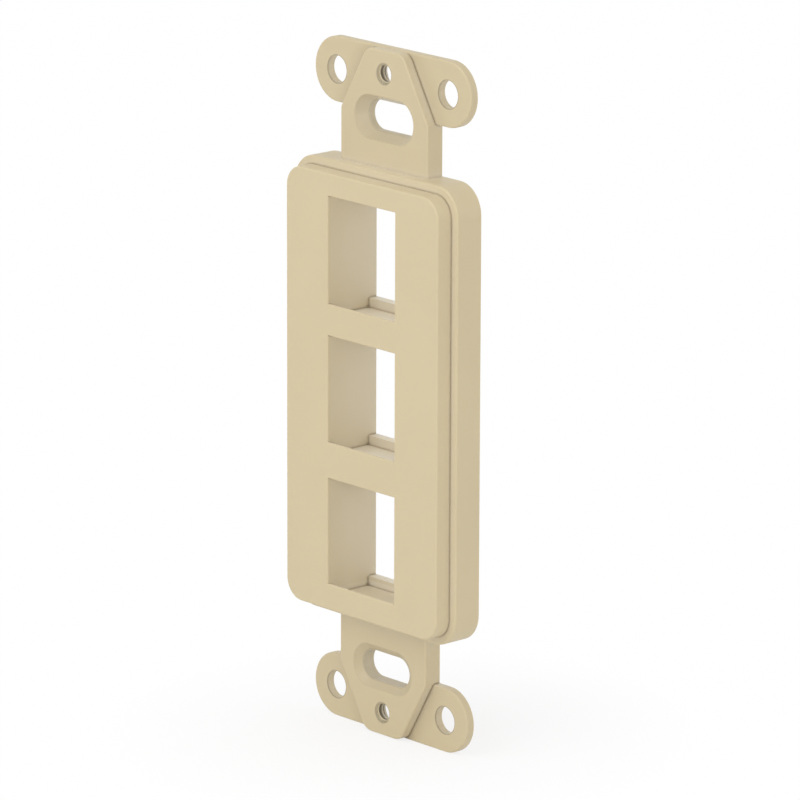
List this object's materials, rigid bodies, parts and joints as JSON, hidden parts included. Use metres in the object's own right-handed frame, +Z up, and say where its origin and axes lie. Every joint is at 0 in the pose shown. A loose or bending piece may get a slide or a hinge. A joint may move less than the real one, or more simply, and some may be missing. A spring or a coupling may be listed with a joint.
{
  "type": "keystone faceplate",
  "caption": "One-piece moulded strap with a raised front panel of square ports for snap-in jacks, screw slots and threaded holes at its ends, and thin ears.",
  "frame": {"origin": "midway between the two box-screw slots, in the plane of the strap's flat back face", "axes": "+X to the right seen from the front, -Y out of the wall towards the viewer, +Z up"},
  "size_m": [0.0358, 0.0096, 0.104],
  "materials": {
    "ivory_plastic": "satin moulded ivory plastic, smooth with a very fine grain"
  },
  "bodies": {
    "root": {"faceplate": "ivory_plastic"}
  },
  "joints": []
}
